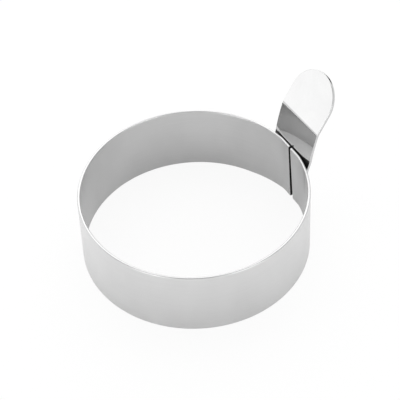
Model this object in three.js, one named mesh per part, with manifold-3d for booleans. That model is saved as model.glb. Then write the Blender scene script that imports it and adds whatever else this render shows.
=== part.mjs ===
// Stainless egg ring: a strip of sheet rolled into a hoop, with a bent thumb handle spot-welded
// across the hoop's seam. Millimetres, +Z up. The hoop rests on z = 0 and the handle points along +X.
// The origin is the middle of the whole object's footprint.

import * as THREE from "three";
import { mergeVertices, toCreasedNormals } from "three/addons/utils/BufferGeometryUtils.js";
import Module from "manifold-3d";

const DEGREE = Math.PI / 180;

// Hoop
const INSIDE_DIAMETER = 75;
const HOOP_HEIGHT = 25;
const HOOP_WALL = 1;
const HOOP_EDGE_EASE = 0.25; // bevel along both rims
const SHOULDER_RADIUS = 12; // outer bend where the round wall turns into the flat land at the seam

// Seam between the two ends of the hoop's strip
const SEAM_GAP_TOP = 0.9;
const SEAM_GAP_BOTTOM = 1.4;
const STRIP_CORNER_RADIUS = 0.6; // lower corner of each strip end
const SPLAY = 1.05; // how much further out the lower edge stands at the seam than the rim
const SPLAY_REACH = 18; // across, from the seam to where the wall is upright again

// Handle, a strip bent twice, away from the hoop, with a leg that is curved to the hoop's wall
const HANDLE_WIDTH = 20;
const HANDLE_THICKNESS = 1;
const HANDLE_EDGE_EASE = 0.25; // bevel along its sides and round its end
const FOOT_CLEARANCE = 1; // from the resting plane up to the lower end of the leg
const FOOT_CORNER_RADIUS = 2;
const LEG_CLEARANCE = 0.06; // between the leg and the wall that it is welded to
const HUG_DROP = 5; // from the rim down to where the leg follows the wall all across its width
const HUG_RISE = 0.6; // from the rim up to where the strip is flat across its width
const LOWER_BEND_DROP = 2.5; // from the rim down to where the lower bend starts
const LOWER_BEND_RADIUS = 15; // on the inside of the bend
const LOWER_LEAN = 10.5 * DEGREE; // from upright, where the lower bend ends
const MIDDLE_LEAN = 18.5 * DEGREE; // where the gently curved middle ends
const MIDDLE_RADIUS = 71; // on the inside of that curve
const UPPER_BEND_RADIUS = 5; // on the inside of the bend
const TAB_LEAN = 33.7 * DEGREE;
const TAB_LENGTH = 7; // flat from the upper bend to where the round end starts

// Spot welds, a column on each strip end
const WELD_COLUMN_PITCH = 5;
const WELD_ROW_PITCH = 11;
const NUGGET_DIAMETER = 3; // where the two sheets meet
const NUGGET_FACE_DIAMETER = 2; // at its flat ends
const NUGGET_DEPTH = 0.5; // into each sheet
const NUGGET_CLEARANCE = 0.1;
const LAND_MARGIN = 0.2; // flat land left beyond each weld

// Facets
const ARC_STEP = 2.5 * DEGREE;
const ACROSS_STEPS = 26; // across the handle
const HUG_STEPS = 4; // up the leg, where it turns from curved to flat
const END_SEGMENTS = 72; // round a full circle of the handle's end
const NUGGET_SEGMENTS = 24;
const CREASE_ANGLE = 20 * DEGREE; // sharper edges are shaded as edges
const CUT_MARGIN = 0.5; // how far a cutting shape runs past what it cuts

// Values that follow from the sizes above
const OUTER_RADIUS = INSIDE_DIAMETER / 2 + HOOP_WALL;
const LAND_HALF = WELD_COLUMN_PITCH / 2 + NUGGET_DIAMETER / 2 + LAND_MARGIN;
const SHOULDER_TURN = Math.asin(LAND_HALF / (OUTER_RADIUS - SHOULDER_RADIUS));
const SHOULDER_X = (OUTER_RADIUS - SHOULDER_RADIUS) * Math.cos(SHOULDER_TURN);
const LAND_X = SHOULDER_X + SHOULDER_RADIUS; // outer face of the flat land, at the height of the rim
const LEG_LEAN = -Math.atan(SPLAY / HOOP_HEIGHT); // the leg follows the land, which stands out at the foot
const END_RADIUS = HANDLE_WIDTH / 2;
const FAR = 4 * (INSIDE_DIAMETER + HOOP_HEIGHT + MIDDLE_RADIUS + TAB_LENGTH); // past the whole part

const wasm = await Module();
wasm.setup();

// Solids and meshes

function solidOf(geometry) {
  const bare = geometry.clone();
  bare.deleteAttribute("normal");
  bare.deleteAttribute("uv");
  const merged = mergeVertices(bare);
  return new wasm.Manifold(
    new wasm.Mesh({
      numProp: 3,
      vertProperties: merged.attributes.position.array,
      triVerts: new Uint32Array(merged.index.array),
    }),
  );
}

function meshOf(name, solid, material) {
  const { vertProperties, triVerts } = solid.getMesh();
  const geometry = new THREE.BufferGeometry();
  geometry.setAttribute("position", new THREE.BufferAttribute(vertProperties, 3));
  geometry.setIndex(new THREE.BufferAttribute(triVerts, 1));
  const mesh = new THREE.Mesh(toCreasedNormals(geometry, CREASE_ANGLE), material);
  mesh.name = name;
  return mesh;
}

// Outlines

function arc(x, y, radius, from, to) {
  const steps = Math.ceil(Math.abs(to - from) / ARC_STEP);
  return new THREE.EllipseCurve(x, y, radius, radius, from, to, to < from).getPoints(steps);
}

function mirrored(points) {
  return points.map((point) => new THREE.Vector2(-point.x, point.y)).reverse();
}

// A shape drawn on two axes and extruded half its depth to each side, with both ends' edges eased
function extruded(shape, depth, axes, ease = 0, steps = 1) {
  const geometry = new THREE.ExtrudeGeometry(shape, {
    depth: depth - 2 * ease,
    steps,
    bevelEnabled: ease > 0,
    bevelThickness: ease,
    bevelSize: ease,
    bevelOffset: -ease,
    bevelSegments: 1,
  });
  return geometry.translate(0, 0, ease - depth / 2).applyMatrix4(axes);
}

const X = new THREE.Vector3(1, 0, 0);
const Y = new THREE.Vector3(0, 1, 0);
const Z = new THREE.Vector3(0, 0, 1);
const DRAWN_FROM_TOP = new THREE.Matrix4(); // outline in x and y
const DRAWN_FROM_SIDE = new THREE.Matrix4().makeBasis(X, Z, Y.clone().negate()); // outline in x and z
const DRAWN_FROM_END = new THREE.Matrix4().makeBasis(Y, Z, X); // outline in y and z

// Hoop: the wall's plan at some depth below its outer face, round but for the land across the seam

function hoopPlan(depth) {
  const shoulder = SHOULDER_RADIUS - depth;
  const round = arc(0, 0, OUTER_RADIUS - depth, SHOULDER_TURN, 2 * Math.PI - SHOULDER_TURN);
  const nearShoulder = arc(SHOULDER_X, -LAND_HALF, shoulder, -SHOULDER_TURN, 0);
  const farShoulder = arc(SHOULDER_X, LAND_HALF, shoulder, 0, SHOULDER_TURN);
  return [...round.slice(1), ...nearShoulder.slice(1), ...farShoulder];
}

// How far the wall stands out near the seam: most at its lower edge, and alike all across the land
function splay(across, height) {
  const upright = (Math.abs(across) - LAND_HALF) / (SPLAY_REACH - LAND_HALF);
  return SPLAY * (1 - height / HOOP_HEIGHT) * (1 - THREE.MathUtils.clamp(upright, 0, 1));
}

function splayed(wall) {
  const point = wall.attributes.position;
  for (let k = 0; k < point.count; k += 1) {
    if (point.getX(k) > 0) {
      point.setX(k, point.getX(k) + splay(point.getY(k), point.getZ(k)));
    }
  }
  return wall;
}

function hoop() {
  const plan = new THREE.Shape(hoopPlan(0));
  plan.holes.push(new THREE.Path(hoopPlan(HOOP_WALL)));
  const wall = extruded(plan, HOOP_HEIGHT, DRAWN_FROM_TOP, HOOP_EDGE_EASE);
  return solidOf(splayed(wall.translate(0, 0, HOOP_HEIGHT / 2)));
}

// Seam: a gap that widens downwards and rounds the lower corner of each strip end

function seamGap() {
  const top = SEAM_GAP_TOP / 2;
  const bottom = SEAM_GAP_BOTTOM / 2;
  const corner = STRIP_CORNER_RADIUS;
  const side = [
    new THREE.Vector2(top, HOOP_HEIGHT + CUT_MARGIN),
    ...arc(bottom + corner, corner, corner, Math.PI, 1.5 * Math.PI),
    new THREE.Vector2(bottom + corner, -CUT_MARGIN),
  ];
  const outline = new THREE.Shape([...side, ...mirrored(side)]);
  const gap = extruded(outline, HOOP_WALL + SPLAY + 2 * CUT_MARGIN, DRAWN_FROM_END);
  return solidOf(gap.translate(LAND_X + (SPLAY - HOOP_WALL) / 2, 0, 0));
}

// Handle: its side outline runs up the face that lies on the hoop, and down the other face.
// A lean is from upright, away from the hoop as it rises.

const along = (lean) => new THREE.Vector2(Math.sin(lean), Math.cos(lean));
const outward = (lean) => new THREE.Vector2(Math.cos(lean), -Math.sin(lean));

// How far the wall's outer face falls back from where it is at the seam
function fallBack(across, height) {
  const beyond = Math.max(Math.abs(across) - LAND_HALF, 0);
  const isShoulder = beyond < SHOULDER_RADIUS * Math.sin(SHOULDER_TURN);
  const face = isShoulder
    ? SHOULDER_X + Math.sqrt(SHOULDER_RADIUS ** 2 - beyond ** 2)
    : Math.sqrt(OUTER_RADIUS ** 2 - across ** 2);
  return LAND_X - face + splay(0, height) - splay(across, height);
}

// The strip with its leg curved to the wall, and flat again just above the rim
function hugging(strip) {
  const point = strip.attributes.position;
  for (let k = 0; k < point.count; k += 1) {
    const height = point.getZ(k);
    const flat = THREE.MathUtils.smoothstep(height, HOOP_HEIGHT - HUG_DROP, HOOP_HEIGHT + HUG_RISE);
    point.setX(k, point.getX(k) - (1 - flat) * fallBack(point.getY(k), height));
  }
  return strip;
}

// A bend of the face on the hoop's side, from a point where that face has one lean to where it has another
function bend(start, from, to, insideRadius) {
  const radius = insideRadius + HANDLE_THICKNESS;
  const centre = start.clone().addScaledVector(outward(from), radius);
  const end = centre.clone().addScaledVector(outward(to), -radius);
  return { from, to, radius, centre, end };
}

const onLand = (height) => new THREE.Vector2(LAND_X + splay(0, height), height);
const onLeg = (height) => onLand(height).addScaledVector(outward(LEG_LEAN), LEG_CLEARANCE);
const bendStart = onLeg(HOOP_HEIGHT - LOWER_BEND_DROP);
const lowerBend = bend(bendStart, LEG_LEAN, LOWER_LEAN, LOWER_BEND_RADIUS);
const middle = bend(lowerBend.end, LOWER_LEAN, MIDDLE_LEAN, MIDDLE_RADIUS);
const upperBend = bend(middle.end, MIDDLE_LEAN, TAB_LEAN, UPPER_BEND_RADIUS);
const endCentre = upperBend.end.clone().addScaledVector(along(TAB_LEAN), TAB_LENGTH);

function handleFace(depth) {
  const foot = onLeg(FOOT_CLEARANCE);
  const legTop = new THREE.LineCurve(onLeg(HOOP_HEIGHT - HUG_DROP), bendStart).getPoints(HUG_STEPS);
  const tip = endCentre
    .clone()
    .addScaledVector(along(TAB_LEAN), END_RADIUS + CUT_MARGIN)
    .addScaledVector(outward(TAB_LEAN), depth);
  const points = [foot, ...legTop].map((point) => point.addScaledVector(outward(LEG_LEAN), depth));
  for (const { from, to, radius, centre } of [lowerBend, middle, upperBend]) {
    points.push(...arc(centre.x, centre.y, radius - depth, Math.PI - from, Math.PI - to).slice(1));
  }
  return [...points, tip];
}

// The round end's limit: everything below the end's centre, and a disc with eased edges about it
function roundEnd() {
  const rim = END_RADIUS - HANDLE_EDGE_EASE - CUT_MARGIN;
  const profile = [
    new THREE.Vector2(0, -CUT_MARGIN),
    new THREE.Vector2(rim, -CUT_MARGIN),
    new THREE.Vector2(END_RADIUS, HANDLE_EDGE_EASE),
    new THREE.Vector2(END_RADIUS, HANDLE_THICKNESS - HANDLE_EDGE_EASE),
    new THREE.Vector2(rim, HANDLE_THICKNESS + CUT_MARGIN),
    new THREE.Vector2(0, HANDLE_THICKNESS + CUT_MARGIN),
  ];
  const up = along(TAB_LEAN);
  const out = outward(TAB_LEAN);
  const tabAxes = new THREE.Matrix4()
    .makeBasis(new THREE.Vector3(up.x, 0, up.y), new THREE.Vector3(out.x, 0, out.y), Y)
    .setPosition(endCentre.x, 0, endCentre.y);
  const disc = new THREE.LatheGeometry(profile, END_SEGMENTS).applyMatrix4(tabAxes);
  const below = new THREE.BoxGeometry(FAR, FAR, FAR).translate(-FAR / 2, 0, 0).applyMatrix4(tabAxes);
  return solidOf(below).add(solidOf(disc));
}

// The foot's limit: a tall plate whose two lower corners are round
function roundFoot() {
  const edge = HANDLE_WIDTH / 2 - FOOT_CORNER_RADIUS;
  const corner = arc(edge, FOOT_CLEARANCE + FOOT_CORNER_RADIUS, FOOT_CORNER_RADIUS, -Math.PI / 2, 0);
  const side = [...corner, new THREE.Vector2(HANDLE_WIDTH / 2, FAR)];
  const outline = new THREE.Shape([...side, ...mirrored(side)]);
  return solidOf(extruded(outline, FAR, DRAWN_FROM_END));
}

function handle() {
  const outline = new THREE.Shape([...handleFace(0), ...handleFace(HANDLE_THICKNESS).reverse()]);
  const strip = extruded(outline, HANDLE_WIDTH, DRAWN_FROM_SIDE, HANDLE_EDGE_EASE, ACROSS_STEPS);
  return solidOf(hugging(strip)).intersect(roundEnd()).intersect(roundFoot());
}

// Spot welds: lens-shaped nuggets, each half in the hoop's land and half in the handle's leg

function nugget(place, clearance) {
  const middle = NUGGET_DIAMETER / 2 + clearance;
  const face = NUGGET_FACE_DIAMETER / 2 + clearance;
  const depth = NUGGET_DEPTH + clearance;
  const profile = [
    new THREE.Vector2(0, -depth),
    new THREE.Vector2(face, -depth),
    new THREE.Vector2(middle, 0),
    new THREE.Vector2(face, depth),
    new THREE.Vector2(0, depth),
  ];
  const geometry = new THREE.LatheGeometry(profile, NUGGET_SEGMENTS).rotateZ(-Math.PI / 2);
  const seat = onLand(place.y);
  return solidOf(geometry.rotateY(LEG_LEAN).translate(seat.x, place.x, seat.y));
}

const weldMiddle = (FOOT_CLEARANCE + HOOP_HEIGHT) / 2;
const weldPlaces = [];
for (const column of [-0.5, 0.5]) {
  for (const row of [-0.5, 0.5]) {
    weldPlaces.push(
      new THREE.Vector2(column * WELD_COLUMN_PITCH, weldMiddle + row * WELD_ROW_PITCH),
    );
  }
}

// Assembly

const satinSteel = new THREE.MeshStandardMaterial({ color: 0xc8c8c6, roughness: 0.4, metalness: 1 });
const polishedSteel = new THREE.MeshStandardMaterial({ color: 0xd8d8d6, roughness: 0.06, metalness: 1 });
const weldSteel = new THREE.MeshStandardMaterial({ color: 0x9c9b98, roughness: 0.6, metalness: 1 });

let band = hoop().subtract(seamGap());
let grip = handle();
for (const place of weldPlaces) {
  const pocket = nugget(place, NUGGET_CLEARANCE);
  band = band.subtract(pocket);
  grip = grip.subtract(pocket);
}

const assembly = new THREE.Group();
assembly.add(meshOf("ring_band", band, satinSteel));
assembly.add(meshOf("handle", grip, polishedSteel));
weldPlaces.forEach((place, index) => {
  assembly.add(meshOf(`spot_weld_${index + 1}`, nugget(place, 0), weldSteel));
});

// The whole footprint is centred on the origin
const footprint = new THREE.Box3().setFromObject(assembly).getCenter(new THREE.Vector3());
assembly.position.x = -footprint.x;

const group = new THREE.Group();
group.add(assembly);

export default group;
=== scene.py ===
import math

import bmesh
import bpy
from mathutils import Matrix, Vector

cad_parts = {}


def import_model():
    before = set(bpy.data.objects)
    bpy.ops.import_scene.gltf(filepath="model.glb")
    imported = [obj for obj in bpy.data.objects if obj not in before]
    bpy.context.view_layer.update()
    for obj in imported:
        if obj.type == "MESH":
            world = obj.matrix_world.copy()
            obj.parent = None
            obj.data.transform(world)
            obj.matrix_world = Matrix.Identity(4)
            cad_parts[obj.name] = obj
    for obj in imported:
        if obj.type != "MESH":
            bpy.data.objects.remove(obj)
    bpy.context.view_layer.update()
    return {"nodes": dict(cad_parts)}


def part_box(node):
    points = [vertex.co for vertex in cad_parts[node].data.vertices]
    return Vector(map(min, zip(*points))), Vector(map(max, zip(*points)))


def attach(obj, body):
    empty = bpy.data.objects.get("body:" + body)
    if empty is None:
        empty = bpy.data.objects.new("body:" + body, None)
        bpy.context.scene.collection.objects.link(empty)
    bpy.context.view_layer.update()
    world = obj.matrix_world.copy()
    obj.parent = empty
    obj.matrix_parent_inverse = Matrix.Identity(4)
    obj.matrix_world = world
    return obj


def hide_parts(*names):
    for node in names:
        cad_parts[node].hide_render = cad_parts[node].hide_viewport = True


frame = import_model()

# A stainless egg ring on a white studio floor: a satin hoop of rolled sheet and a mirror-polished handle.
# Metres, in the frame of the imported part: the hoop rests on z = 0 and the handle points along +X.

MM = 0.001
band_low, band_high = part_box("ring_band")
handle_low, handle_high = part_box("handle")

# Hoop
HOOP_HEIGHT = band_high.z
HOOP_WALL = 1 * MM
HOOP_EDGE = 0.45 * MM  # radius of the rolled-off edges of the sheet
OUTER_RADIUS = band_high.y
SHOULDER_RADIUS = 12 * MM  # where the round wall turns into the flat land at the seam
LAND_HALF = 4.2 * MM
SEAM_GAP_TOP = 0.9 * MM
SEAM_GAP_BOTTOM = 1.4 * MM
SPLAY = 1.05 * MM  # how much further out the lower edge stands at the seam than the rim
SPLAY_REACH = 18 * MM  # across, from the seam to where the wall is upright again
STRIP_CORNER = 0.6 * MM
CUT_EDGE = 0.1 * MM  # how far the edges of the cut strip ends are rounded
STREAK_PLACE = -12.4 * MM  # across, the darkest line of a darker streak on the inside, beside the handle
STREAK_REACH = 4 * MM  # from there towards the seam
STREAK_FADE = 1.2 * MM  # from there away from the seam
STREAK_TOP = 21 * MM  # heights between which the streak fades out
STREAK_BOTTOM = 13 * MM

# Handle
HANDLE_WIDTH = handle_high.y - handle_low.y
HANDLE_THICKNESS = 1 * MM
HANDLE_EDGE = 0.15 * MM
FOOT_CORNER = 2 * MM
LEG_CLEARANCE = 0.06 * MM  # between the leg and the wall of the hoop
HUG_DROP = 5 * MM  # from the rim down to where the leg follows the wall all across its width
HUG_RISE = 0.6 * MM  # from the rim up to where the strip is flat across its width
LOWER_BEND_DROP = 2.5 * MM  # from the rim down to where the lower bend starts
LOWER_BEND_RADIUS = 16 * MM  # on the face towards the hoop, as the next two
MIDDLE_RADIUS = 72 * MM
UPPER_BEND_RADIUS = 6 * MM
LOWER_LEAN = math.radians(10.5)  # from upright, where the lower bend ends
MIDDLE_LEAN = math.radians(18.5)  # where the gently curved middle ends
TAB_LEAN = math.radians(33.7)
TAB_LENGTH = 6.8 * MM
TWIST = math.radians(2)  # of the free part about the seam, as on a piece a little out of true
TWIST_START = 20 * MM  # heights between which the twist comes in
TWIST_END = 26 * MM

# Camera, about the middle of the hoop
IMAGE_SIZE = 400  # pixels
SENSOR = 36  # millimetres
FOCAL_LENGTH = 1750.6  # pixels
VIEW_DISTANCE = 594.85 * MM
VIEW_TURN = math.radians(-27.96)
VIEW_HEIGHT = math.radians(47.93)
VIEW_PAN = math.radians(0.19)
VIEW_TILT = math.radians(-1.34)
VIEW_ROLL = math.radians(3.09)

# Values that follow from the sizes above
AXIS_X = band_low.x + OUTER_RADIUS
SHOULDER_TURN = math.asin(LAND_HALF / (OUTER_RADIUS - SHOULDER_RADIUS))
SHOULDER_X = (OUTER_RADIUS - SHOULDER_RADIUS) * math.cos(SHOULDER_TURN)
LAND_X = SHOULDER_X + SHOULDER_RADIUS
LEG_LEAN = math.atan(SPLAY / HOOP_HEIGHT)
FOOT_X = AXIS_X + LAND_X + SPLAY * (1 - handle_low.z / HOOP_HEIGHT) + LEG_CLEARANCE
LEG_LENGTH = (HOOP_HEIGHT - LOWER_BEND_DROP - handle_low.z) / math.cos(LEG_LEAN)
LOWER_BEND = LEG_LEAN + LOWER_LEAN
MIDDLE_BEND = MIDDLE_LEAN - LOWER_LEAN
UPPER_BEND = TAB_LEAN - MIDDLE_LEAN
SHOULDER_MIDDLE = SHOULDER_RADIUS - HOOP_WALL / 2
ROUND_MIDDLE = OUTER_RADIUS - HOOP_WALL / 2
ROUND_START = LAND_HALF + SHOULDER_TURN * SHOULDER_MIDDLE
HALF_LENGTH = ROUND_START + (math.pi - SHOULDER_TURN) * ROUND_MIDDLE
END_RADIUS = HANDLE_WIDTH / 2
LOWER_BEND_END = LEG_LENGTH + LOWER_BEND * LOWER_BEND_RADIUS
UPPER_BEND_START = LOWER_BEND_END + MIDDLE_BEND * MIDDLE_RADIUS
UPPER_BEND_END = UPPER_BEND_START + UPPER_BEND * UPPER_BEND_RADIUS
END_CENTRE = UPPER_BEND_END + TAB_LENGTH

# Fineness of the meshes
EDGE_STEPS = 6  # in each quarter round of a sheet's edge
CORNER_STEPS = 6  # in a rounded corner of the hoop's strip
FOOT_STEPS = 8  # in a rounded corner of the handle's foot
HOOP_STEPS = 600
END_STEPS = 44
END_TURN = math.radians(88)  # of the round end's quarter, to a last row that is narrow but has a width
FLOOR_STEPS = 96


# Sheets

def steps(start, end, count):
    """Even steps from start to end, both included."""
    return [start + (end - start) * k / count for k in range(count + 1)]


def border(cells):
    """What lies round the outside of a grid of rows, in order."""
    right = [row[-1] for row in cells[:-1]]
    left = [row[0] for row in cells[:0:-1]]
    return cells[0][:-1] + right + cells[-1][:0:-1] + left


def quads(bm, rows):
    """Faces between neighbouring rows of vertices."""
    for near, far in zip(rows, rows[1:]):
        for a, b, c, d in zip(near, near[1:], far[1:], far):
            bm.faces.new((a, b, c, d))


def linked(name, bm):
    """A new object in the scene with the mesh that was built."""
    mesh = bpy.data.meshes.new(name)
    bm.to_mesh(mesh)
    bm.free()
    made = bpy.data.objects.new(name, mesh)
    bpy.context.scene.collection.objects.link(made)
    return made


def bent_sheet(name, rows, place, thickness, edge, columns):
    """A sheet with rounded edges. rows(inset) are its rows, laid out flat, from edge to edge, and
    place(point, depth) is where a flat point lies on the bent sheet, at a depth below its first face."""
    spread = [(1 - math.cos(math.pi * share)) / 2 for share in steps(0, 1, columns)]

    def grid(inset):
        return [[start.lerp(end, share) for share in spread] for start, end in rows(inset)]

    bm = bmesh.new()
    flat = grid(edge)
    first = [[bm.verts.new(place(point, 0)) for point in row] for row in flat]
    second = [[bm.verts.new(place(point, thickness)) for point in row] for row in flat]
    quads(bm, first)
    quads(bm, second)
    near_edge = steps(0, math.pi / 2, EDGE_STEPS)[1:]
    far_edge = steps(math.pi / 2, math.pi, EDGE_STEPS)[:-1]
    rings = [border(first)]
    for start, turns in ((0, near_edge), (thickness - 2 * edge, far_edge)):
        for turn in turns:
            outline = border(grid(edge * (1 - math.sin(turn))))
            depth = start + edge * (1 - math.cos(turn))
            rings.append([bm.verts.new(place(point, depth)) for point in outline])
    rings.append(border(second))
    quads(bm, [ring + ring[:1] for ring in rings])
    bmesh.ops.recalc_face_normals(bm, faces=bm.faces)
    piece = linked(name, bm)
    piece.data.shade_smooth()
    return piece


# Hoop, laid out flat as a strip: x along the strip from the seam, y up

def hoop_station(length):
    """The hoop's outer face at a length along its strip, and the way it faces there."""
    side = 1 if length <= HALF_LENGTH else -1
    reach = length if side > 0 else 2 * HALF_LENGTH - length
    if reach < LAND_HALF:
        turn = 0
        point = Vector((LAND_X, reach, 0))
    elif reach < ROUND_START:
        turn = (reach - LAND_HALF) / SHOULDER_MIDDLE
        facing = Vector((math.cos(turn), math.sin(turn), 0))
        point = Vector((SHOULDER_X, LAND_HALF, 0)) + SHOULDER_RADIUS * facing
    else:
        turn = SHOULDER_TURN + (reach - ROUND_START) / ROUND_MIDDLE
        point = OUTER_RADIUS * Vector((math.cos(turn), math.sin(turn), 0))
    facing = Vector((math.cos(turn), side * math.sin(turn), 0))
    return Vector((AXIS_X + point.x, side * point.y, 0)), facing


def splay(across, height):
    """How far the wall stands out near the seam, where it leans out towards its lower edge."""
    faded = min(max((abs(across) - LAND_HALF) / (SPLAY_REACH - LAND_HALF), 0), 1)
    return SPLAY * (1 - height / HOOP_HEIGHT) * (1 - faded)


def on_hoop(point, depth):
    """Where a flat point lies on the hoop, at a depth below its outer face."""
    outer, facing = hoop_station(point.x)
    placed = outer - depth * facing + Vector((0, 0, point.y))
    if placed.x > AXIS_X:
        placed.x += splay(placed.y, placed.z)
    return placed


def hoop_rows(inset):
    """Rows of the flat strip, from its lower to its upper edge, with the corners at its ends rounded."""
    top = HOOP_HEIGHT - inset
    end_inset = inset * CUT_EDGE / HOOP_EDGE
    straight = SEAM_GAP_BOTTOM / 2 + STRIP_CORNER
    end_rows = []
    for share in steps(0, 1, CORNER_STEPS)[:-1]:
        turn = math.pi * (1 + share / 2)
        lower_x = straight + (STRIP_CORNER - end_inset) * math.cos(turn)
        lower_y = STRIP_CORNER + (STRIP_CORNER - inset) * math.sin(turn)
        upper_x = SEAM_GAP_TOP / 2 + end_inset
        upper_x += share * (straight - upper_x)
        end_rows.append((Vector((lower_x, lower_y)), Vector((upper_x, top))))
    far_rows = []
    for lower, upper in reversed(end_rows):
        far_lower = Vector((2 * HALF_LENGTH - lower.x, lower.y))
        far_upper = Vector((2 * HALF_LENGTH - upper.x, upper.y))
        far_rows.append((far_lower, far_upper))
    rows = []
    for length in steps(straight, 2 * HALF_LENGTH - straight, HOOP_STEPS):
        rows.append((Vector((length, inset)), Vector((length, top))))
    return end_rows + rows + far_rows


# Handle, laid out flat: x along it from the foot, y across

def handle_station(length):
    """The handle's face towards the hoop at a length from its foot, and how far it leans there."""
    x = FOOT_X
    z = handle_low.z
    lean = -LEG_LEAN
    parts = (
        (0, LEG_LENGTH, None),
        (LEG_LENGTH, LOWER_BEND_END, LOWER_BEND_RADIUS),
        (LOWER_BEND_END, UPPER_BEND_START, MIDDLE_RADIUS),
        (UPPER_BEND_START, UPPER_BEND_END, UPPER_BEND_RADIUS),
        (UPPER_BEND_END, END_CENTRE + END_RADIUS, None),
    )
    for start, end, radius in parts:
        covered = min(max(length, start), end) - start
        if radius:
            turned = covered / radius
            x += radius * (math.cos(lean) - math.cos(lean + turned))
            z += radius * (math.sin(lean + turned) - math.sin(lean))
            lean += turned
        else:
            x += covered * math.sin(lean)
            z += covered * math.cos(lean)
    return x, z, lean


def fall_back(across, height):
    """How far the wall's outer face falls back from where it is at the seam."""
    beyond = max(abs(across) - LAND_HALF, 0)
    if beyond < SHOULDER_RADIUS * math.sin(SHOULDER_TURN):
        face = SHOULDER_X + math.sqrt(SHOULDER_RADIUS ** 2 - beyond ** 2)
    else:
        face = math.sqrt(OUTER_RADIUS ** 2 - across ** 2)
    return LAND_X - face + splay(0, height) - splay(across, height)


def eased(value, start, end):
    """A smooth rise from 0 at start to 1 at end."""
    share = min(max((value - start) / (end - start), 0), 1)
    return share * share * (3 - 2 * share)


def on_handle(point, depth):
    """Where a flat point lies on the handle, at a depth below its face towards the hoop."""
    x, z, lean = handle_station(point.x)
    placed = Vector((x + depth * math.cos(lean), point.y, z - depth * math.sin(lean)))
    flat = eased(placed.z, HOOP_HEIGHT - HUG_DROP, HOOP_HEIGHT + HUG_RISE)
    placed.x -= (1 - flat) * fall_back(placed.y, placed.z)
    seam = Vector((AXIS_X + LAND_X, 0, 0))
    turn = TWIST * eased(placed.z, TWIST_START, TWIST_END)
    return seam + Matrix.Rotation(turn, 3, "Z") @ (placed - seam)


def handle_rows(inset):
    """Rows across the flat handle, from its foot with two rounded corners to its round end."""
    half = HANDLE_WIDTH / 2
    places = []
    for turn in steps(-math.pi / 2, 0, FOOT_STEPS)[:-1]:
        radius = FOOT_CORNER - inset
        length = FOOT_CORNER + radius * math.sin(turn)
        places.append((length, half - FOOT_CORNER + radius * math.cos(turn)))
    stretches = (
        (FOOT_CORNER, LEG_LENGTH, 24),
        (LEG_LENGTH, LOWER_BEND_END, 16),
        (LOWER_BEND_END, UPPER_BEND_START, 12),
        (UPPER_BEND_START, UPPER_BEND_END, 12),
        (UPPER_BEND_END, END_CENTRE, 8),
    )
    for start, end, count in stretches:
        places += [(length, half - inset) for length in steps(start, end, count)[:-1]]
    for turn in steps(0, END_TURN, END_STEPS):
        radius = END_RADIUS - inset
        places.append((END_CENTRE + radius * math.sin(turn), radius * math.cos(turn)))
    return [(Vector((length, -reach)), Vector((length, reach))) for length, reach in places]


# Materials

class Nodes:
    """The nodes of a material or a world, added and linked one at a time."""

    def __init__(self, owner):
        self.owner = owner
        owner.use_nodes = True
        self.tree = owner.node_tree
        self.tree.nodes.clear()

    def add(self, kind, settings=None, **inputs):
        made = self.tree.nodes.new(kind)
        for key, value in (settings or {}).items():
            setattr(made, key, value)
        for key, value in inputs.items():
            socket = made.inputs[key.replace("_", " ")]
            if isinstance(value, bpy.types.NodeSocket):
                self.tree.links.new(value, socket)
            else:
                socket.default_value = value
        return made

    def join(self, node, *values):
        """Links values to the inputs of a node, in order."""
        for value, socket in zip(values, node.inputs):
            self.tree.links.new(value, socket)

    def ranged(self, value, to, given=(0.0, 1.0)):
        """A value carried over from the given range to another, and held at its ends."""
        made = self.add("ShaderNodeMapRange", Value=value)
        made.inputs["From Min"].default_value = given[0]
        made.inputs["From Max"].default_value = given[1]
        made.inputs["To Min"].default_value = to[0]
        made.inputs["To Max"].default_value = to[1]
        return made.outputs["Result"]

    def rise(self, value, start, end):
        """From 0 where the value is at its start to 1 at its end."""
        return self.ranged(value, (0.0, 1.0), (start, end))

    def fall(self, value, start, end):
        """From 1 where the value is at its start to 0 at its end."""
        return self.ranged(value, (1.0, 0.0), (start, end))

    def grain(self, lumps):
        """Noise in the object's own coordinates, with so many lumps a metre along each axis."""
        place = self.add("ShaderNodeTexCoord").outputs["Object"]
        mapping = self.add("ShaderNodeMapping", Vector=place, Scale=lumps)
        noise = self.add("ShaderNodeTexNoise", Vector=mapping.outputs["Vector"], Scale=1.0, Detail=3.0)
        return noise.outputs["Fac"]

    def grey(self, value):
        return self.add("ShaderNodeCombineColor", Red=value, Green=value, Blue=value).outputs["Color"]

    def parts(self, vector):
        return self.add("ShaderNodeSeparateXYZ", Vector=vector).outputs

    def worked(self, operation, *values):
        made = self.add("ShaderNodeMath", {"operation": operation})
        self.join(made, *values)
        return made.outputs["Value"]

    def sum(self, a, b):
        return self.worked("ADD", a, b)

    def product(self, first, *others):
        for other in others:
            first = self.worked("MULTIPLY", first, other)
        return first

    def size(self, value):
        return self.worked("ABSOLUTE", value)

    def blend(self, share, value, other):
        return self.add("ShaderNodeMix", Factor=share, A=value, B=other).outputs["Result"]

    def bump(self, height, strength, depth):
        made = self.add("ShaderNodeBump", Strength=strength, Distance=depth, Height=height)
        return made.outputs["Normal"]

    def metal(self, tone, roughness, normal, **more):
        """The finished material, a bare metal of a grey tone."""
        shader = self.add(
            "ShaderNodeBsdfPrincipled",
            Base_Color=self.grey(tone),
            Metallic=1.0,
            Roughness=roughness,
            Normal=normal,
            **more,
        )
        return self.output(shader.outputs["BSDF"])

    def output(self, shader, kind="ShaderNodeOutputMaterial"):
        self.add(kind, Surface=shader)
        return self.owner


# A pair is what the low and the high end of a grain give. Lumps are counted in a metre along x, y and z.
NOISE_SPREAD = (0.3, 0.7)  # where most of a noise lies

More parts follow.
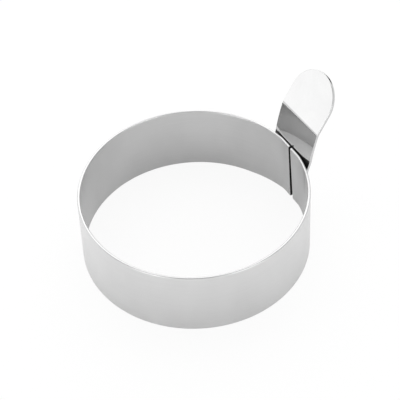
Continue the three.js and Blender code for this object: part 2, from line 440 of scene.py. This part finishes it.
BRUSHING_LUMPS = (60, 60, 5000)
BRUSHED_TONES = (0.63, 0.69)
BRUSHED_ROUGHNESS = (0.27, 0.35)
BRUSHED_STRETCH = 0.4  # of highlights, across the brushing
ACROSS_BRUSHING = 0.25  # of a turn, from the way round the hoop
SMUDGE_LUMPS = (60, 60, 36)
SMUDGE_TONES = (-0.025, 0.025)
SMUDGE_ROUGHNESS = (-0.02, 0.02)
INSIDE_SHADE_OUTSIDE_LIGHT = (-0.02, 0.03)  # painted shade on the hoop's inside and painted light on its outside, added to the tone
RIM_SHADE_TONE = 0.57
RIM_FACING = (0.3, 0.7)  # parts of the normal along z between which the rim's painted shade comes in
# Painted shade on the strip's cut ends at the seam
SEAM_SHADE_TONE = 0.06
SEAM_SHADE_ROUGHNESS = 0.6
CUT_FACING = (0.5, 0.8)  # the same along y
CUT_REACH = 1.2 * SEAM_GAP_BOTTOM  # across, to where the painted shade on the cut ends stops
# A darker streak with fine lines, on the hoop's inside beside the handle
STREAK_LINE_LUMPS = (60, 2500, 60)
STREAK_LINE_SPREAD = (0.35, 0.65)
STREAK_LINE_SHARES = (0.3, 1.0)
STREAK_TONE = 0.36
STREAK_FACING = (-0.8, -0.6)  # the same along x


def satin_steel():
    """Steel brushed round the hoop, with smudges and a darker streak on the inside, painted shade on the
    rims and the cut ends, and painted shade inside and painted light outside.
    """
    n = Nodes(bpy.data.materials.new("satin_steel"))
    surface = n.add("ShaderNodeNewGeometry").outputs
    place = n.parts(surface["Position"])
    facing = n.parts(surface["Normal"])
    brushing = n.grain(BRUSHING_LUMPS)
    smudges = n.grain(SMUDGE_LUMPS)
    tone = n.sum(n.ranged(brushing, BRUSHED_TONES), n.ranged(smudges, SMUDGE_TONES, NOISE_SPREAD))
    roughness = n.ranged(brushing, BRUSHED_ROUGHNESS)
    roughness = n.sum(roughness, n.ranged(smudges, SMUDGE_ROUGHNESS, NOISE_SPREAD))
    # Outward is about the hoop's radius on its outside, and minus that on its inside
    outward = n.sum(n.product(place["X"], facing["X"]), n.product(place["Y"], facing["Y"]))
    # Painted shade and light: the hoop's inside is made darker and its outside lighter.
    tone = n.sum(tone, n.ranged(outward, INSIDE_SHADE_OUTSIDE_LIGHT, (-OUTER_RADIUS / 4, OUTER_RADIUS / 4)))
    # Painted shade: faces turned up, the rims most, get a darker tone, which tones down their highlight.
    rim_shade = n.rise(facing["Z"], *RIM_FACING)
    tone = n.blend(rim_shade, tone, RIM_SHADE_TONE)
    # Painted shade: the strip's cut ends at the seam are made near black and rough, so the seam gap looks
    # dark.
    at_seam = n.fall(n.size(place["Y"]), SEAM_GAP_BOTTOM, CUT_REACH)
    seam_shade = n.product(at_seam, n.rise(n.size(facing["Y"]), *CUT_FACING))
    tone = n.blend(seam_shade, tone, SEAM_SHADE_TONE)
    roughness = n.blend(seam_shade, roughness, SEAM_SHADE_ROUGHNESS)
    # A darker streak with fine lines on the hoop's inside, beside the handle.
    streaked = n.product(
        n.rise(place["Y"], STREAK_PLACE - STREAK_FADE, STREAK_PLACE),
        n.fall(place["Y"], STREAK_PLACE, STREAK_PLACE + STREAK_REACH),
        n.rise(place["Z"], STREAK_BOTTOM, STREAK_TOP),
        n.fall(facing["X"], *STREAK_FACING),
        n.rise(place["X"], AXIS_X, AXIS_X + STREAK_REACH),
    )
    streak_lines = n.ranged(n.grain(STREAK_LINE_LUMPS), STREAK_LINE_SHARES, STREAK_LINE_SPREAD)
    tone = n.blend(n.product(streaked, streak_lines), tone, STREAK_TONE)
    tangent = n.add("ShaderNodeTangent", {"direction_type": "RADIAL", "axis": "Z"})
    return n.metal(
        tone,
        roughness,
        n.bump(brushing, strength=0.06, depth=0.02 * MM),
        Anisotropic=BRUSHED_STRETCH,
        Anisotropic_Rotation=ACROSS_BRUSHING,
        Tangent=tangent.outputs["Tangent"],
    )


POLISHING_LUMPS = (900, 5000, 900)
POLISHED_TONES = (0.58, 0.62)
POLISHED_ROUGHNESS = (0.02, 0.05)
MARK_LUMPS = (160, 160, 160)
MARK_TONES = (-0.01, 0.01)
MARK_ROUGHNESS = (0.0, 0.03)
MARK_SPREAD = (0.45, 0.75)
COVERED_SHADE_TONE = 0.08  # painted shade on the leg's face against the hoop, which the seam gap and the crevice at the rim show dark
COVERED_ROUGHNESS = 0.5
COVERED_HEIGHTS = (HOOP_HEIGHT + 0.1 * MM, HOOP_HEIGHT + 0.4 * MM)  # between which the painted shade gives way to the polish
COVERED_FACING = (-0.8, -0.4)  # and the parts of the normal along x


def polished_steel():
    """Steel polished to a mirror, with fine lines and faint handling marks, and painted shade on its face
    behind the hoop.
    """
    n = Nodes(bpy.data.materials.new("polished_steel"))
    surface = n.add("ShaderNodeNewGeometry").outputs
    place = n.parts(surface["Position"])
    facing = n.parts(surface["Normal"])
    lines = n.grain(POLISHING_LUMPS)
    marks = n.grain(MARK_LUMPS)
    tone = n.sum(n.ranged(lines, POLISHED_TONES), n.ranged(marks, MARK_TONES, NOISE_SPREAD))
    roughness = n.ranged(lines, POLISHED_ROUGHNESS)
    roughness = n.sum(roughness, n.ranged(marks, MARK_ROUGHNESS, MARK_SPREAD))
    # Painted shade: the leg's face behind the hoop's wall is near black and rough, so the seam gap and
    # the crevice at the rim look dark.
    covered_shade = n.product(n.fall(place["Z"], *COVERED_HEIGHTS), n.fall(facing["X"], *COVERED_FACING))
    tone = n.blend(covered_shade, tone, COVERED_SHADE_TONE)
    roughness = n.blend(covered_shade, roughness, COVERED_ROUGHNESS)
    return n.metal(tone, roughness, n.bump(lines, strength=0.02, depth=0.005 * MM))


WELD_LUMPS = (2500, 2500, 2500)
WELD_TONES = (0.36, 0.52)
WELD_ROUGHNESS = (0.45, 0.65)


def weld_steel():
    """Fused steel, dull and grainy."""
    n = Nodes(bpy.data.materials.new("weld_steel"))
    grain = n.grain(WELD_LUMPS)
    tone = n.ranged(grain, WELD_TONES)
    roughness = n.ranged(grain, WELD_ROUGHNESS)
    return n.metal(tone, roughness, n.bump(grain, strength=0.3, depth=0.05 * MM))


PAPER_LUMPS = (300, 300, 300)
PAPER_TONES = (0.89, 0.91)
SEEN_GLOW = 0.9  # share of the floor that glows by itself, to the camera
MIRRORED_GLOW = 0.23  # and in the steel


def white_floor():
    """A white floor that glows a little to the camera, so that it stays white but keeps a soft shadow."""
    n = Nodes(bpy.data.materials.new("white_floor"))
    paper = n.add("ShaderNodeBsdfDiffuse", Color=n.grey(n.ranged(n.grain(PAPER_LUMPS), PAPER_TONES)))
    glow = n.add("ShaderNodeEmission", Color=(1, 1, 1, 1), Strength=1.0)
    path = n.add("ShaderNodeLightPath").outputs
    seen = n.ranged(path["Is Camera Ray"], (0.0, SEEN_GLOW))
    mirrored = n.sum(path["Is Glossy Ray"], path["Is Transmission Ray"])
    share = n.sum(seen, n.ranged(mirrored, (0.0, MIRRORED_GLOW)))
    mixed = n.add("ShaderNodeMixShader")
    n.join(mixed, share, paper.outputs["BSDF"], glow.outputs["Emission"])
    return n.output(mixed.outputs["Shader"])


# Studio. Right, away and up are as the camera sees them, from the middle of the hoop.

FLOOR_RADII = (0.1, 0.3, 0.7)
FLOOR_DROP = 0.02 * MM
DOORWAY = (0.54, 0.83, 0.07)  # the way to it: right, away, up
DOORWAY_GLOW = 0.1
DOORWAY_EDGE = (0.93, 0.98)  # cosines of the angle from its middle, between which it darkens
ROOM_GLOW = (1.0, 0.66)  # at the horizon and overhead
ROOM_RISE = (0.1, 0.5)  # sines of the height between which the glow changes
VIEW_AXES = Matrix.Rotation(VIEW_TURN, 4, "Z")
HOOP_MIDDLE = Vector((AXIS_X, 0, 0))


def floor():
    """A round sheet of paper under the hoop."""
    bm = bmesh.new()
    rings = []
    for radius in FLOOR_RADII:
        ring = []
        for turn in steps(0, 2 * math.pi, FLOOR_STEPS)[:-1]:
            ring.append(bm.verts.new((radius * math.cos(turn), radius * math.sin(turn), -FLOOR_DROP)))
        rings.append(ring)
    bm.faces.new(rings[0])
    quads(bm, [ring + ring[:1] for ring in rings])
    made = linked("studio_floor", bm)
    made.data.materials.append(white_floor())


def softbox(name, right, away, up, width, height, radiance):
    """A soft panel lamp that faces the hoop."""
    light = bpy.data.lights.new(name, "AREA")
    light.shape = "RECTANGLE"
    light.size = width
    light.size_y = height
    light.energy = radiance * math.pi * width * height
    lamp = bpy.data.objects.new(name, light)
    place = VIEW_AXES @ Vector((right, away, up))
    lamp.location = place + HOOP_MIDDLE
    lamp.rotation_euler = (-place).to_track_quat("-Z", "Y").to_euler()
    lamp.visible_camera = False
    bpy.context.scene.collection.objects.link(lamp)


def world():
    """A white room, brightest at the horizon, with a dark doorway at the back on the right."""
    n = Nodes(bpy.data.worlds.new("white_room"))
    direction = n.add("ShaderNodeTexCoord").outputs["Generated"]
    doorway = n.add("ShaderNodeVectorMath", {"operation": "DOT_PRODUCT"})
    doorway.inputs[1].default_value = (VIEW_AXES @ Vector(DOORWAY)).normalized()
    n.join(doorway, direction)
    shade = n.ranged(doorway.outputs["Value"], (1.0, DOORWAY_GLOW), DOORWAY_EDGE)
    strength = n.product(n.ranged(n.parts(direction)["Z"], ROOM_GLOW, ROOM_RISE), shade)
    background = n.add("ShaderNodeBackground", Color=(1, 1, 1, 1), Strength=strength)
    bpy.context.scene.world = n.output(background.outputs["Background"], "ShaderNodeOutputWorld")


def camera():
    """A camera at the photograph's place, turned a little off the middle of the hoop."""
    lens = bpy.data.cameras.new("camera")
    lens.sensor_width = SENSOR
    lens.lens = SENSOR * FOCAL_LENGTH / IMAGE_SIZE
    lens.clip_start = 0.01
    lens.clip_end = 20
    made = bpy.data.objects.new("camera", lens)
    level = VIEW_AXES @ Matrix.Rotation(math.pi / 2 - VIEW_HEIGHT, 4, "X")
    aim = Matrix.Rotation(-VIEW_PAN, 4, "Y") @ Matrix.Rotation(-VIEW_TILT, 4, "X")
    aim = aim @ Matrix.Rotation(-VIEW_ROLL, 4, "Z")
    place = level @ Vector((0, 0, VIEW_DISTANCE)) + HOOP_MIDDLE
    made.matrix_world = Matrix.Translation(place) @ level @ aim
    bpy.context.scene.collection.objects.link(made)
    bpy.context.scene.camera = made


# Assembly

band = bent_sheet("hoop_sheet", hoop_rows, on_hoop, HOOP_WALL, HOOP_EDGE, columns=16)
band.data.materials.append(satin_steel())
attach(band, "root")
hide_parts("ring_band")

grip = bent_sheet("handle_sheet", handle_rows, on_handle, HANDLE_THICKNESS, HANDLE_EDGE, columns=32)
grip.data.materials.append(polished_steel())
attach(grip, "root")
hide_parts("handle")

weld = weld_steel()
for name, node in frame["nodes"].items():
    if name.startswith("spot_weld"):
        node.data.materials.clear()
        node.data.materials.append(weld)

floor()
world()
softbox("top_light", right=0.0, away=0.55, up=0.65, width=1.6, height=1.2, radiance=1.25)
softbox("left_light", right=-0.9, away=0.16, up=0.2, width=0.6, height=0.4, radiance=0.58)
for name, right in (("front_left_light", -0.62), ("front_right_light", 0.62)):
    softbox(name, right, away=-0.75, up=0.2, width=0.55, height=0.4, radiance=2.3)
camera()
bpy.context.scene.view_settings.view_transform = "Standard"
